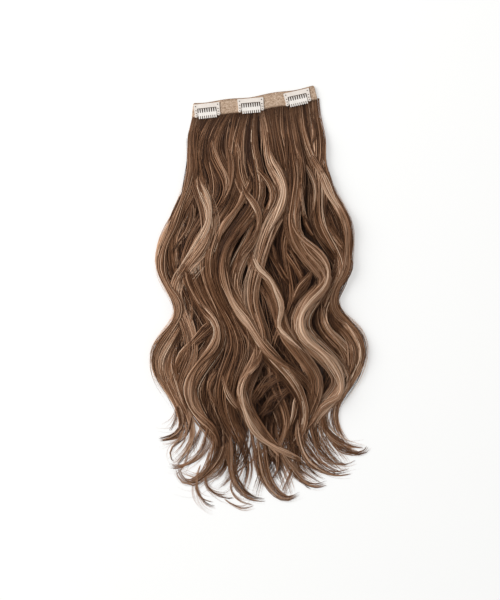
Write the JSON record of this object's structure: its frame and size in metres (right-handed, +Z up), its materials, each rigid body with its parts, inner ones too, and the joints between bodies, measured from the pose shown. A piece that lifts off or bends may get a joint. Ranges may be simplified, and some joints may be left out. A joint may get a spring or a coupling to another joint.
{
  "type": "clip-in hair extension",
  "caption": "Long wavy hair falling from a woven band that carries toothed snap clips, lying flat, face up.",
  "frame": {"origin": "middle of the band's underside, on the surface that the piece lies on", "axes": "+Z up out of the surface, towards the clips' faces; +Y from the hair's tips towards the band; +X along the band to the right as the clips are seen"},
  "size_m": [0.2566, 0.4979, 0.0238],
  "materials": {
    "band_tape": "tan woven tape, sewn along both edges",
    "hair": "soft satin hair, mid brown with tan-blond highlights",
    "clip_frame": "cream lacquered steel, satin",
    "clip_comb": "cream lacquered spring steel, satin",
    "clip_pin": "bare steel",
    "clip_grip": "dark brown silicone strip"
  },
  "bodies": {
    "extension": {"band": "band_tape", "hair": "hair", "clip_left_frame": "clip_frame", "clip_left_pin": "clip_pin", "clip_left_grip": "clip_grip", "clip_middle_frame": "clip_frame", "clip_middle_pin": "clip_pin", "clip_middle_grip": "clip_grip", "clip_right_frame": "clip_frame", "clip_right_pin": "clip_pin", "clip_right_grip": "clip_grip"},
    "comb_left": {"clip_left_comb": "clip_comb"},
    "comb_middle": {"clip_middle_comb": "clip_comb"},
    "comb_right": {"clip_right_comb": "clip_comb"}
  },
  "joints": [
    {"name": "comb_left_hinge", "type": "hinge", "parent": "extension", "child": "comb_left", "pos_m": [-0.05636, -0.01264, 0.00485], "axis": [0.9939, 0.11, 0], "range_deg": [0, 25]},
    {"name": "comb_middle_hinge", "type": "hinge", "parent": "extension", "child": "comb_middle", "pos_m": [-0.00402, -0.0065, 0.00485], "axis": [0.9964, 0.0853, 0], "range_deg": [0, 25]},
    {"name": "comb_right_hinge", "type": "hinge", "parent": "extension", "child": "comb_right", "pos_m": [0.05268, 0.00268, 0.00485], "axis": [0.9757, 0.2192, 0], "range_deg": [0, 25]}
  ]
}
